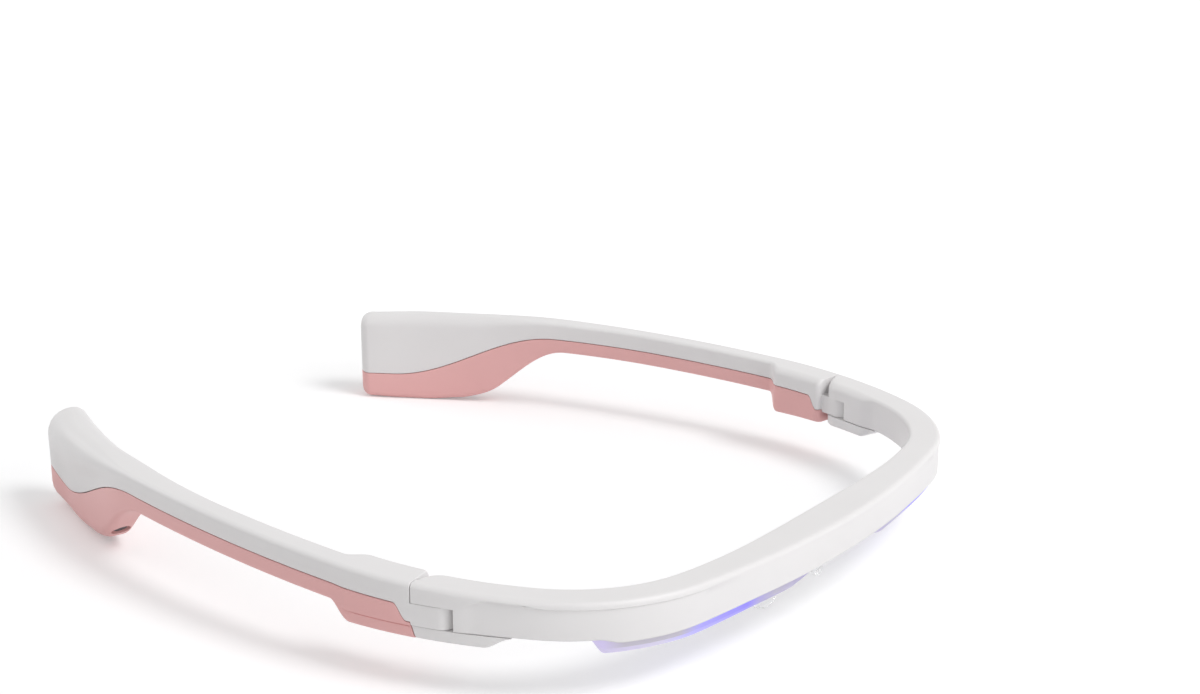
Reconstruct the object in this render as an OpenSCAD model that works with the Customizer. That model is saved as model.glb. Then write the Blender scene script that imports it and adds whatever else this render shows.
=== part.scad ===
// Light therapy glasses with folding temples.
// A wrap-around bar carries two lit crescent windows above the eyes. Each temple is a white
// cover over a pink base, hinged to the bar, and swells into a paddle behind the ear.
// The plan outline is a chain of tangent arcs that starts at the middle of the front.
// Sections are drawn as [inward, up] points: 0 inward is the outside face, 0 up is the
// top of the bar at its middle. The wearer faces -Y and the temples run towards +Y.

/* [Plan outline] */
// Radius of the shallow curve across the brow
brow_radius = 211.5; // [190:0.5:230]
// Half of the angle that the brow turns through
brow_turn = 12.3; // [11:0.1:13.5]
// Radius of the corner beside each eye
corner_radius = 37.9; // [35:0.1:41]
// Angle that the corner turns through
corner_turn = 52; // [50:0.1:54]
// Radius of the curve that runs through the hinge
cheek_radius = 87; // [80:1:95]
// Angle that the hinge curve turns through
cheek_turn = 26.2; // [24.5:0.1:28]
// Radius of the long straight-looking part of the temple
temple_radius = 297; // [270:1:320]
// Angle that this part of the temple turns through
temple_turn = 10.8; // [10:0.1:12]
// Radius of the curve at the tip
tip_radius = 184; // [165:1:200]
// Angle that the tip turns through
tip_turn = 18.6; // [17:0.1:20]

/* [Front bar] */
// Thickness of the bar at its middle
bar_mid_w = 8.8; // [8:0.1:10]
// Thickness of the bar beside the eyes
bar_side_w = 6.8; // [6.4:0.1:7.4]
// Height of the bar
bar_h = 7.2; // [7:0.1:7.8]
// Extra height of the bar over each window
brow_drop = 0.9; // [0:0.1:1.4]
// Wall of the bar
bar_wall = 1.3; // [1:0.1:1.5]
// Radius along the bar's upper edges
edge_r = 1; // [0.5:0.1:1.5]
// Depth of the step below the bar's outer upper edge
face_step = 0.15; // [0.05:0.05:0.3]
// Thickness of the cover plate under the bar
plate_t = 1.1; // [0.8:0.1:1.5]

/* [Light windows] */
// Distance from the middle of the front to a window
window_start = 10; // [8:0.5:14]
// Length of a window past the start of the corner
window_past_corner = 22.4; // [18:0.2:24]
// Depth of a window below the bar, beside the eye
window_drop = 3.6; // [2.5:0.1:4.5]
// Depth of a window below the bar, near the nose
window_near_drop = 2.2; // [1.5:0.1:3]
// Thickness of a window
window_t = 2.2; // [1.6:0.1:2.4]
// Thickness of the bezel in front of a window
bezel_t = 0.6; // [0.4:0.1:0.8]
// Number of lamps over each window
led_count = 4; // [2:1:5]
// Length and width of a lamp
led_size = 2.8; // [2:0.1:3]

/* [Hinges] */
// Distance of the hinge seam past the end of the corner
seam_past_corner = 21.6; // [20.5:0.1:24]
// Gap between the bar and a temple
seam_gap = 0.25; // [0.2:0.05:0.4]
// Radius of the hinge barrel
barrel_r = 3.6; // [3.3:0.1:3.8]
// Radius of the rounded ear around the pin
knuckle_r = 4; // [3.8:0.1:4.2]
// Distance from the seam to the pin
pin_forward = 4.4; // [4.4:0.1:5]
// Height of the upper ear
ear_h = 2.65; // [2.2:0.05:3]
// Depth of the top of the lower boss
boss_top = 7.05; // [6.8:0.05:7.2]
// Height of the lower boss
boss_h = 2.5; // [2.3:0.05:3]
// Radius of the hinge pin
pin_r = 0.9; // [0.7:0.05:1.1]
// Radius of the head of the hinge pin
pin_head_r = 1.6; // [1.3:0.1:1.9]
// Running clearance of the pin in the barrel
pin_play = 0.05; // [0.02:0.01:0.09]
// Gap above and below the barrel
barrel_gap = 0.1; // [0.08:0.01:0.15]

/* [Temples] */
// Thickness of a temple
temple_w = 4.9; // [4.6:0.1:5.6]
// Height of a temple
temple_h = 7.6; // [7:0.1:8.2]
// Rise of the upper edge towards the ear
top_rise = 3.3; // [2.5:0.1:4]
// Wall of the covers and bases
shell_t = 1.1; // [0.9:0.05:1.2]
// Thickness of the lip where base and cover meet
lip_t = 0.45; // [0.3:0.05:0.5]
// Height of this lip
lip_h = 0.7; // [0.5:0.1:1]
// Gap where base and cover meet
part_gap = 0.12; // [0.08:0.02:0.2]
// Depth of the parting line between cover and base
parting_depth = 4.2; // [3.9:0.1:4.6]
// Length of the thick block behind the hinge
block_len = 18.5; // [17:0.5:22]
// Thickness of this block
block_w = 8.2; // [7.8:0.1:8.6]
// Depth of this block
block_h = 9.5; // [9:0.1:10]

/* [Tips] */
// Length of the paddle at the tip
paddle_len = 57; // [55:0.5:59]
// Thickness of the paddle at its end
paddle_w = 9; // [8.4:0.1:9.4]
// Length of the slope down to the paddle's foot
slope_len = 29.5; // [28:0.5:31]
// Depth of the paddle's flat foot below the top of the bar
foot_depth = 19.4; // [18.4:0.2:20.4]
// Depth of the parting line at the end of the paddle
tip_parting = 12.8; // [12.2:0.1:13.4]
// Rise of the parting line round the outside of the end
parting_rise = 3; // [0:0.1:3.5]
// Depth of the hollow in the outside of the paddle
paddle_hollow = 1.6; // [0.8:0.1:1.8]
// Fall of the upper edge behind the ear
tip_fall = 0.4; // [0:0.1:1]
// Radius around the end of the paddle
end_r = 2.6; // [2.2:0.1:3]
// Radius under the outside of the paddle
foot_r = 3.8; // [2.4:0.1:4]
// Distance down the paddle to the button and the charging socket
port_along = 17.6; // [17:0.1:18.2]
// Distance from there to the screw
screw_past_port = 8.9; // [8.6:0.1:9.4]
// Radius of the recess around the button and the socket
port_r = 2.1; // [2:0.05:2.3]
// Radius of the power button
button_r = 1.6; // [1.4:0.05:1.8]
// Travel of the power button
button_travel = 0.4; // [0.3:0.05:0.6]
// Radius of the charging socket's bore
socket_r = 1.3; // [1.1:0.05:1.4]
// Depth of the charging socket's bore
socket_depth = 6; // [5:0.5:6.5]

/* [Nose rest] */
// Distance between the middles of the nose pads
pad_spacing = 19; // [17:0.5:23]
// Height of a nose pad
pad_h = 12.4; // [11:0.2:13]
// Width of a nose pad
pad_w = 7.2; // [6:0.2:8]
// Thickness of a nose pad
pad_t = 3.2; // [2.6:0.1:3.6]
// Radius of a nose pad's arm
arm_r = 0.75; // [0.6:0.05:1]

/* [Electronics] */
// Length of a battery
cell_len = 22; // [18:1:24]
// Height of a battery
cell_h = 6.4; // [5:0.2:6.6]
// Thickness of a battery
cell_t = 2.2; // [1.8:0.1:2.4]
// Thickness of the circuit boards
board_t = 0.8; // [0.6:0.1:1]
// Thickness of the flexible circuits
flex_t = 0.3; // [0.2:0.05:0.4]

/* [Hidden] */
$fn = 48;

white = [0.90, 0.89, 0.89];
pink = [0.85, 0.64, 0.63];
rim_grey = [0.71, 0.69, 0.75];
lit_lilac = [0.66, 0.64, 0.95];
clear_grey = [0.82, 0.86, 0.88, 0.5];
steel = [0.70, 0.71, 0.73];
board_green = [0.10, 0.35, 0.24];
flex_amber = [0.75, 0.48, 0.18];
cell_silver = [0.76, 0.77, 0.79];
dark_grey = [0.20, 0.20, 0.22];
lamp_yellow = [0.95, 0.90, 0.55];

// Small lengths that don't change with the design
seat = 0.05;          // clearance round seated plates and lips
sliver = 0.05;        // height of a hollow where a wall closes it
past = 1;             // how far a cut runs past a face
pin_head_h = 0.7;
screw_r = 0.6;
screw_head_r = 1.2;
screw_head_h = 0.7;
post_r = 1.15;

// The plan outline
radii = [brow_radius, corner_radius, cheek_radius, temple_radius, tip_radius];
turns = [brow_turn, corner_turn, cheek_turn, temple_turn, tip_turn];
last_arc = len(radii) - 1;
function arc_chord(radius, from, turn) =
    radius * [sin(from + turn) - sin(from), cos(from) - cos(from + turn)];
function arc_start(i) = i == 0 ? 0 : arc_start(i - 1) + radii[i - 1] * turns[i - 1] * PI / 180;
function arc_heading(i) = i == 0 ? 0 : arc_heading(i - 1) + turns[i - 1];
function arc_point(i) =
    i == 0 ? [0, 0] : arc_point(i - 1) + arc_chord(radii[i - 1], arc_heading(i - 1), turns[i - 1]);
starts = [for (i = [0:last_arc + 1]) arc_start(i)];
headings = [for (i = [0:last_arc]) arc_heading(i)];
corners = [for (i = [0:last_arc]) arc_point(i)];
function arc_of(s, i = last_arc) = i == 0 || s >= starts[i] ? i : arc_of(s, i - 1);
function turned(s, i) = (s - starts[i]) / radii[i] * 180 / PI;
// Heading and place of the outline at a distance s from the middle, negative to the right
function heading(s) = s < 0 ? -heading(-s) : let (i = arc_of(s)) headings[i] + turned(s, i);
function outline(s) = s < 0
    ? let (p = outline(-s)) [-p.x, p.y]
    : let (i = arc_of(s)) corners[i] + arc_chord(radii[i], headings[i], turned(s, i));
function place(s, p) =
    let (o = outline(s), a = heading(s)) [o.x - sin(a) * p.x, o.y + cos(a) * p.x, p.y];

// Distances along the outline
corner_s = starts[1];
seam_s = starts[2] + seam_past_corner;
end_s = starts[last_arc + 1];
pin_s = seam_s - pin_forward;
window_end = corner_s + window_past_corner;
paddle_s = end_s - paddle_len;
foot_s = paddle_s + slope_len;
port_s = paddle_s + port_along;
screw_s = port_s + screw_past_port;

function clamp01(u) = max(0, min(1, u));
// Smooth change from 0 to 1 between two distances
function ease(s, from, to) = (1 - cos(180 * clamp01((s - from) / (to - from)))) / 2;
function blend(a, b, u) = a + (b - a) * u;
function spread(from, to, count) = [for (i = [0:count - 1]) from + (to - from) * i / (count - 1)];

// Heights that all the pieces share
function top_z(s) =
    top_rise * ease(abs(s), corner_s, paddle_s + 14) - tip_fall * ease(abs(s), paddle_s + 14, end_s);
// How far the rounded end of the paddle draws in
function end_inset(s) =
    let (u = clamp01((s - end_s + end_r) / end_r)) end_r * (1 - sqrt(1 - u * u));

// Rounded corner of a section, from angle a on, as points on an arc
function corner(b, z, r, a, steps = 3) =
    [for (i = [0:steps]) [b + r * cos(a + 90 * i / steps), z + r * sin(a + 90 * i / steps)]];

// Solid skinned over closed rings of points, each ring anticlockwise about the way ahead
module skin(rings) {
    n = len(rings[0]);
    last = len(rings) - 1;
    sides = [for (k = [0:last - 1]) for (i = [0:n - 1])
        let (j = (i + 1) % n, a = k * n, b = a + n)
        each [[a + i, b + i, b + j], [a + i, b + j, a + j]]];
    polyhedron([for (ring = rings) each ring], concat([[for (i = [0:n - 1]) i]], sides,
        [[for (i = [n - 1:-1:0]) last * n + i]]), convexity = 10);
}

// Solid through one section for each station of the outline
module loft(stations, sections) {
    skin([for (k = [0:len(stations) - 1]) [for (p = sections[k]) place(stations[k], p)]]);
}

// Axes at a station: X along the outline, Y inward, Z up
module at(s, inward, up) {
    translate(place(s, [inward, up])) rotate([0, 0, heading(s)]) children();
}

module right_side() { mirror([1, 0, 0]) children(); }

// Front bar
hinge_w = barrel_r + knuckle_r;
function boss_share(s) = ease(abs(s), seam_s - 18.5, seam_s - 14);
function bar_w(s) =
    blend(blend(bar_mid_w, bar_side_w, ease(abs(s), 0, corner_s)), hinge_w, boss_share(s));
function over_window(s) =
    ease(abs(s), window_start + 18, corner_s + 10)
    * (1 - ease(abs(s), window_end - 5.5, window_end - 1));
function bar_bottom(s) = -blend(bar_h, boss_top - sliver, ease(abs(s), seam_s - 30, seam_s - 20));
function bar_face_bottom(s) = bar_bottom(s) - brow_drop * over_window(s);
bar_solid_s = seam_s - 11.6;
slot_s = pin_s - barrel_r - 0.35;
function step_share(s) =
    ease(abs(s), corner_s, corner_s + 12) * (1 - ease(abs(s), seam_s - 15, seam_s - 12));
bar_roof = 1.4;
step_depth = 1.3;

function bar_section(s) =
    let (w = bar_w(s), top = top_z(s), r = edge_r, ri = blend(0.8, 1.9, boss_share(s)),
        in = face_step * step_share(s), low = bar_bottom(s), face_low = bar_face_bottom(s),
        roof = abs(s) > bar_solid_s ? low + sliver : top - bar_roof)
    concat(
        [[w, low]], corner(w - ri, top - ri, ri, 0), corner(r, top - r, r, 90),
        [[0, top - step_depth], [in, top - step_depth - 0.15], [in, face_low + 0.5],
            [in + 0.4, face_low], [bar_wall, face_low], [bar_wall, roof], [w - bar_wall, roof],
            [w - bar_wall, low]]);

half_bar = concat(spread(0, corner_s, 9), spread(corner_s + 2.4, window_end - 6, 6),
    spread(window_end - 5.5, window_end - 1, 4), [window_end + 2], spread(seam_s - 30, seam_s - 20, 4),
    spread(seam_s - 18.5, seam_s - 14, 4), [seam_s - 13, bar_solid_s, bar_solid_s + 0.1],
    spread(slot_s - 0.5, seam_s, 4));
bar_stations = concat([for (i = [len(half_bar) - 1:-1:1]) -half_bar[i]], half_bar);

// Space that the barrel of a temple turns in, and the rounding of the ears around the pin
module hinge_clearance() {
    at(pin_s, barrel_r, -boss_top) translate([slot_s - pin_s, -barrel_r - past, 0])
        cube([seam_s - slot_s + 2 * past, hinge_w + 2 * past, boss_top - ear_h]);
    ear_corner_clearance(-ear_h - sliver, 2 * ear_h);
}

module ear_corner_clearance(z, h) {
    at(pin_s, barrel_r, z) difference() {
        cube([2 * knuckle_r, 2 * knuckle_r, h]);
        translate([0, 0, -past]) cylinder(r = knuckle_r, h = h + 2 * past);
    }
}

module pin_hole(r, from, to) {
    at(pin_s, barrel_r, from) cylinder(r = r, h = to - from);
}

base_screw_s = seam_s - 11;
base_screw_in = hinge_w / 2;
module base_screw_hole(r, from, to) {
    at(base_screw_s, base_screw_in, from) cylinder(r = r, h = to - from);
}

pin_top = -1.2;
base_screw_top = -boss_top + 2.8;
module front_shell() color(white) placed() difference() {
    loft(bar_stations, [for (s = bar_stations) bar_section(s)]);
    both_sides() {
        hinge_clearance();
        pin_hole(pin_r, -ear_h - past, pin_top);
        base_screw_hole(screw_r, -boss_top - past, base_screw_top);
    }
}

// Cover plate under the bar, with a boss under each hinge
plate_low = -bar_h + 0.25;
plate_end = bar_solid_s - 0.2;
window_in = bar_wall + seat;
window_back = window_in + bezel_t + seat + window_t;
peg_x = 3.5;
peg_in = 5.2;
function beside_window(s) = ease(abs(s), window_start - 1.6, window_start - 0.6)
    * (1 - ease(abs(s), window_end + 0.6, window_end + 1.6));
function plate_bottom(s) =
    plate_low - (plate_low + boss_top + 2 * sliver) * ease(abs(s), seam_s - 18.5, seam_s - 17);
function plate_section(s) =
    let (from = blend(window_in, window_back + seat, beside_window(s)), to = bar_w(s) - window_in,
        low = plate_bottom(s))
    [[from, low], [to, low], [to, plate_low + plate_t], [from, plate_low + plate_t]];
half_plate = concat(spread(0, window_start - 1.6, 3), [window_start - 0.6],
    spread(window_start + 5, corner_s, 5), spread(corner_s + 3, window_end + 0.6, 7),
    [window_end + 1.6], spread(seam_s - 30, seam_s - 20, 4), spread(seam_s - 18.5, seam_s - 14, 4),
    [seam_s - 13, plate_end]);
plate_stations = concat([for (i = [len(half_plate) - 1:-1:1]) -half_plate[i]], half_plate);

boss_inset = 0.25;
function boss_low(s) = -boss_top - sliver - boss_h * ease(s, seam_s - 19.5, seam_s - 13.5);
function boss_section(s) =
    let (w = bar_w(s), low = boss_low(s), r = min(0.9, (-boss_top - low) * 0.8))
    concat([[w, -boss_top], [boss_inset, -boss_top]],
        corner(boss_inset + r, low + r, r, 180), corner(w - r, low + r, r, 270));
boss_stations = concat(spread(seam_s - 19, seam_s - 13.5, 6), spread(seam_s - 10, seam_s, 4));
boss_bottom = -boss_top - sliver - boss_h;

module front_base() color(white) placed() difference() {
    union() {
        loft(plate_stations, [for (s = plate_stations) plate_section(s)]);
        both_sides() loft(boss_stations, [for (s = boss_stations) boss_section(s)]);
    }
    both_sides() {
        ear_corner_clearance(boss_bottom - past, boss_h + 2 * past);
        pin_hole(pin_r, boss_bottom - past, -boss_top + past);
        pin_hole(pin_head_r + seat, boss_bottom - past, boss_bottom + pin_head_h + 0.2);
        base_screw_hole(screw_r + 0.1, boss_bottom - past, -boss_top + past);
        base_screw_hole(screw_head_r + seat, boss_bottom - past, boss_bottom + screw_head_h + 0.2);
        translate([peg_x, peg_in, plate_low - past]) cylinder(r = peg_r, h = plate_t + 2 * past);
    }
}

// Crescent windows and their bezels
window_top = plate_low + plate_t + 0.3;
function crescent(s) =
    blend(window_near_drop, window_drop, ease(s, corner_s - 16, corner_s + 10))
    * ease(s, window_start - 2, window_start + 12) * (1 - ease(s, window_end - 2.6, window_end + 1.2));
function window_low(s) = plate_low - 0.2 - crescent(s);
function window_section(s) =
    let (from = window_in + bezel_t + seat, to = from + window_t, low = window_low(s), r = 0.5)
    concat([[to, window_top], [from, window_top]], corner(from + r, low + r, r, 180, 2),
        corner(to - r, low + r, r, 270, 2));
function bezel_section(s) =
    let (low = window_low(s) + 0.35 * crescent(s))
    [[window_in, low + 0.2], [window_in + 0.2, low], [window_in + bezel_t, low],
        [window_in + bezel_t, window_top], [window_in, window_top]];
window_stations = concat(spread(window_start, corner_s, 10),
    spread(corner_s + 2.5, window_end - 2.6, 9), spread(window_end - 1.6, window_end, 4));

module light_window() loft(window_stations, [for (s = window_stations) window_section(s)]);
module window_bezel() loft(window_stations, [for (s = window_stations) bezel_section(s)]);
module light_window_left() color(lit_lilac) placed() light_window();
module light_window_right() color(lit_lilac) placed() right_side() light_window();
module window_bezel_left() color(rim_grey) placed() window_bezel();
module window_bezel_right() color(rim_grey) placed() right_side() window_bezel();

// Lamps and their boards, above the windows
led_h = 0.9;
led_top = window_top + 0.15 + led_h;
board_in = window_in + 0.1;
board_w = 3.2;
led_room = (window_end - window_start) / led_count;
board_stations = spread(window_start + 2, window_end - 2, 16);
module led_board() loft(board_stations, [for (s = board_stations)
    [[board_in, led_top], [board_in + board_w, led_top],
        [board_in + board_w, led_top + board_t], [board_in, led_top + board_t]]]);
module leds() {
    for (i = [0:led_count - 1])
        at(window_start + (i + 0.5) * led_room, board_in + board_w / 2, led_top - led_h)
            translate([-led_size / 2, -led_size / 2, 0]) cube([led_size, led_size, led_h - 0.02]);
}
module led_board_left() color(board_green) placed() led_board();
module led_board_right() color(board_green) placed() right_side() led_board();
module leds_left() color(lamp_yellow) placed() leds();
module leds_right() color(lamp_yellow) placed() right_side() leds();

// Flexible circuit along the inside of the bar
flex_h = 2.6;
flex_high = -bar_roof - 0.4;
function standing_strip(inward, high, h) =
    [[inward, high - h], [inward + flex_t, high - h], [inward + flex_t, high], [inward, high]];
flex_reach = seam_s - 19.5;
flex_stations = concat(spread(-flex_reach, -corner_s - 2, 12), spread(-corner_s, corner_s, 11),
    spread(corner_s + 2, flex_reach, 12));
module front_flex() color(flex_amber) placed() loft(flex_stations,
    [for (s = flex_stations) standing_strip(bar_w(s) - bar_wall - flex_t - 0.1, flex_high, flex_h)]);

// Clear rest for the nose: a bridge clipped under the bar and two soft pads
bridge_half = 6.5;
bridge_from = 3.7;
bridge_to = 7;
bridge_h = 1.8;
peg_r = 0.7;
pad_in = 14.5;
pad_lean = 14;
pad_splay = 24;
pad_flat = 0.4;
pad_x = pad_spacing / 2;
pad_z = -foot_depth - pad_flat + pad_h / 2 * cos(pad_lean) + pad_t / 2 * sin(pad_lean) * 0.25;
arm_root = [bridge_half - 1.5, (bridge_from + bridge_to) / 2, plate_low - bridge_h / 2];
arm_tip = [pad_x + 0.3, pad_in - 0.4, pad_z + 0.6];
arm_points = [arm_root, arm_root + [6.5, -0.3, 0.1], arm_tip + [4.6, -3.4, 2.4], arm_tip];
arm_steps = 12;
arm_sides = 10;
function bezier(p, u) = pow(1 - u, 3) * p[0] + 3 * u * pow(1 - u, 2) * p[1]
    + 3 * u * u * (1 - u) * p[2] + pow(u, 3) * p[3];
function unit(v) = v / norm(v);
function round_ring(p, way, r, n) =
    let (x = unit(cross(way, [0, 0, 1])), y = cross(way, x))
    [for (i = [0:n - 1]) p + r * (cos(360 * i / n) * x + sin(360 * i / n) * y)];
module arm() skin([for (i = [0:arm_steps])
    let (u = i / arm_steps, way = unit(bezier(arm_points, u + 0.01) - bezier(arm_points, u - 0.01)))
    round_ring(bezier(arm_points, u), way, arm_r, arm_sides)]);

module nose_bridge() color(clear_grey) placed() {
    translate([-bridge_half, bridge_from, plate_low - bridge_h])
        cube([2 * bridge_half, bridge_to - bridge_from, bridge_h]);
    both_sides() {
        translate([peg_x, peg_in, plate_low - sliver]) cylinder(r = peg_r, h = plate_t + sliver);
        arm();
    }
}

// Soft pad: an oval button shape, flat where it meets the table, with a socket for its arm
pad_rows = 8;
pad_sides = 16;
module oval(t, w, h) {
    points = concat([[0, 0, -h / 2]],
        [for (i = [1:pad_rows - 1]) for (k = [0:pad_sides - 1])
            let (a = 180 * i / pad_rows, c = 360 * k / pad_sides)
            [t / 2 * sin(a) * cos(c), w / 2 * sin(a) * sin(c), -h / 2 * cos(a)]],
        [[0, 0, h / 2]]);
    top = len(points) - 1;
    faces = concat(
        [for (k = [0:pad_sides - 1]) [0, 1 + k, 1 + (k + 1) % pad_sides]],
        [for (i = [0:pad_rows - 3]) for (k = [0:pad_sides - 1])
            let (a = 1 + i * pad_sides, j = (k + 1) % pad_sides)
            each [[a + k, a + pad_sides + k, a + pad_sides + j], [a + k, a + pad_sides + j, a + j]]],
        [for (k = [0:pad_sides - 1])
            let (a = 1 + (pad_rows - 2) * pad_sides) [a + k, top, a + (k + 1) % pad_sides]]);
    polyhedron(points, faces);
}

module nose_pad() difference() {
    translate([pad_x, pad_in, pad_z]) rotate([0, 0, -pad_splay]) rotate([0, -pad_lean, 0])
        oval(pad_t, pad_w, pad_h);
    translate([-pad_w, -pad_w, -foot_depth - pad_h]) translate([pad_x, pad_in, 0])
        cube([2 * pad_w, 2 * pad_w, pad_h]);
    arm();
}
module nose_pad_left() color(clear_grey) placed() nose_pad();
module nose_pad_right() color(clear_grey) placed() right_side() nose_pad();

// Fasteners
module headed_pin(r, head_r, head_h, l) difference() {
    union() {
        cylinder(r = r, h = l);
        cylinder(r = head_r, h = head_h);
    }
    translate([-head_r - past, -0.2, -past]) cube([2 * (head_r + past), 0.4, past + 0.35]);
}
module hinge_pin() at(pin_s, barrel_r, boss_bottom + 0.2)
    headed_pin(pin_r, pin_head_r, pin_head_h, pin_top - 0.2 - boss_bottom);
module hinge_pin_left() color(steel) placed() hinge_pin();
module hinge_pin_right() color(steel) placed() right_side() hinge_pin();
module base_screws() color(steel) placed() both_sides()
    at(base_screw_s, base_screw_in, boss_bottom + 0.2)
        headed_pin(screw_r, screw_head_r, screw_head_h, base_screw_top - boss_bottom - 0.5);

// Temples: a cover above the parting line and a base below it
temple_s = seam_s + seam_gap;
collar_r = 1.2;
function collar(s) =
    let (u = clamp01((temple_s + collar_r - s) / collar_r)) collar_r * (1 - sqrt(1 - u * u));
function block_share(s) = 1 - ease(s, seam_s + block_len - 4.5, seam_s + block_len);
function paddle_share(s) = ease(s, paddle_s + 2, foot_s + 3);
function hollow(s) =
    paddle_hollow * ease(s, paddle_s + 5, foot_s + 5) * (1 - ease(s, end_s - 13, end_s));
function temple_thickness(s) =
    blend(blend(temple_w, paddle_w, ease(s, paddle_s - 25, end_s)), block_w, block_share(s)) - collar(s);
function side_from(s) = 0.85 * end_inset(s);
function side_to(s) = temple_thickness(s) - 0.85 * end_inset(s);
function temple_top(s) = top_z(s) - end_inset(s);
function temple_bottom(s) =
    blend(blend(top_z(s) - temple_h, -block_h, block_share(s)), -foot_depth, ease(s, paddle_s, foot_s))
    + 0.4 * ease(s, end_s - 11, end_s) + 0.8 * end_inset(s);
function near_seam(s) = 1 - ease(s, seam_s + 1, seam_s + 3.8);
function parting(s, inward) =
    blend(blend(top_z(s) - parting_depth - 0.2 * block_share(s), -tip_parting,
        ease(s, paddle_s + 2.6, paddle_s + 48.2)), -boss_top + 0.1, near_seam(s))
    + parting_rise * ease(s, end_s - 14, end_s) * (1 - inward / paddle_w);
function on_parting(s, inward, up) = [inward, parting(s, inward) + up];
function upper_r_out(s) = blend(edge_r, 3.6, paddle_share(s));
function upper_r_in(s) = blend(blend(0.8, 1.9, block_share(s)), 3.2, paddle_share(s));
function lower_r_out(s) = blend(0.8, foot_r, paddle_share(s)) + 1.4 * ease(s, end_s - 14, end_s - 3);
function lower_r_in(s) = blend(0.8, 1.3, paddle_share(s));
function half_w(s) = (side_to(s) - side_from(s)) / 2;
function limit(r, s) = min(r, half_w(s) - 0.1);
function wall(s) = min(shell_t, half_w(s) - 0.3);
function lip(s) = min(lip_t, half_w(s) - wall(s) - seat - 0.1);

root_len = 5.2;
end_wall = 3.6;
cover_roof = 1.3;
function solid_by(s, margin) = s < seam_s + root_len + margin || s > end_s - end_wall - margin;
function cover_section(s) =
    let (a = side_from(s), b = side_to(s), top = temple_top(s), t = wall(s), h = hollow(s),
        ri = limit(upper_r_in(s), s), ro = limit(upper_r_out(s), s), roof = top - cover_roof,
        po = parting(s, a + h) + part_gap / 2, pi = parting(s, b) + part_gap / 2,
        drop = top - ro - po)
    concat([[b, pi]], corner(b - ri, top - ri, ri, 0), corner(a + ro, top - ro, ro, 90),
        [[a + 0.5 * h, top - ro - 0.35 * drop], [a + h, top - ro - 0.7 * drop], [a + h, po]],
        solid_by(s, -0.05)
            ? [on_parting(s, a + h + t, part_gap / 2), on_parting(s, a + h + t, part_gap / 2 + sliver),
                on_parting(s, b - t, part_gap / 2 + sliver), on_parting(s, b - t, part_gap / 2)]
            : [[a + h + t, po], [a + h + t, roof], [b - t, roof], [b - t, pi]]);

// Inside of the base: a floor, a seat for the button or socket and a pillar under the screw
floor_t = 1.2;
port_seat_t = 5;
pillar_half = 2;
pillar_top = -9;
function in_pillar(s) = abs(s - screw_s) <= pillar_half;
function in_port(s) = s > port_s - 7 && s < screw_s - pillar_half;
lip_up = part_gap / 2 + lip_h;
function floor_z(s) =
    let (low = temple_bottom(s), high = parting(s, side_to(s)) + lip_up - 2 * sliver)
    in_pillar(s) ? pillar_top : in_port(s) ? min(low + port_seat_t, high) : low + floor_t;

function base_section(s) =
    let (a = side_from(s) + hollow(s), b = side_to(s), low = temple_bottom(s), t = wall(s) + seat,
        l = t + lip(s), ri = min(lower_r_in(s), 0.3 * (b - a)), ro = min(lower_r_out(s), 0.65 * (b - a)),
        po = parting(s, a) - part_gap / 2, pi = parting(s, b) - part_gap / 2,
        uo = po + lip_up, ui = pi + lip_up, floor = floor_z(s),
        c = sliver + min(0.7 * (ro - 0.8), 0.5 * (b - a) - l - sliver, (uo - floor) / 2))
    concat([[a, po]], corner(a + ro, low + ro, ro, 180), corner(b - ri, low + ri, ri, 270), [[b, pi]],
        solid_by(s, 0.05)
            ? [for (p = [[b - t, 0], [b - t, 1], [b - l, 1], [b - l, 2], [a + l + c, 2], [a + l, 1.5],
                    [a + l, 1], [a + t, 1], [a + t, 0]])
                on_parting(s, p.x, -part_gap / 2 - p.y * sliver)]
            : [[b - t, pi], [b - t, ui], [b - l, ui], [b - l, floor], [a + l + c, floor],
                [a + l, floor + c], [a + l, uo], [a + t, uo], [a + t, po]]);

near_stations = concat(spread(temple_s, temple_s + collar_r, 4),
    spread(seam_s + 2.35, seam_s + root_len - 0.1, 3),
    [seam_s + root_len, seam_s + root_len + 0.1, seam_s + 9],
    spread(seam_s + block_len - 4.5, seam_s + block_len, 5));
middle_stations = spread(seam_s + block_len + 4, paddle_s - 2, 8);
paddle_stations = concat(spread(paddle_s + 2, port_s - 7, 3),
    spread(port_s - 6.9, screw_s - pillar_half - 0.1, 5),
    [screw_s - pillar_half, screw_s + pillar_half, screw_s + pillar_half + 0.1],
    spread(screw_s + 5.5, end_s - 5.5, 6));
end_stations = concat([end_s - end_wall - 0.1, end_s - end_wall],
    [for (a = [0, 25, 45, 62, 78]) end_s - end_r * (1 - sin(a))], [end_s]);
temple_stations = concat(near_stations, middle_stations, paddle_stations, end_stations);

middle_in = temple_thickness(screw_s) / 2 + hollow(screw_s) / 2;
post_bottom = pillar_top + 0.15;
module screw_hole(r, from, to) at(screw_s, middle_in, from) cylinder(r = r, h = to - from);

// Barrel that turns between the ears, on a tongue that grows out of the cover
barrel_low = -boss_top + barrel_gap;
barrel_high = -ear_h - barrel_gap;
tongue_in = 2 * barrel_r - 0.4;
tongue_stations = concat(spread(pin_s, seam_s, 4), [temple_s + 0.35, seam_s + 0.95]);
function tongue_section(s) =
    let (m = s > seam_s ? 0.5 : 0, low = barrel_low + m, high = barrel_high - m)
    [[0.05 + m, low], [tongue_in - m, low], [tongue_in - m, high], [0.05 + m, high]];
module barrel() {
    at(pin_s, barrel_r, barrel_low) cylinder(r = barrel_r, h = barrel_high - barrel_low);
    loft(tongue_stations, [for (s = tongue_stations) tongue_section(s)]);
}

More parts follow.
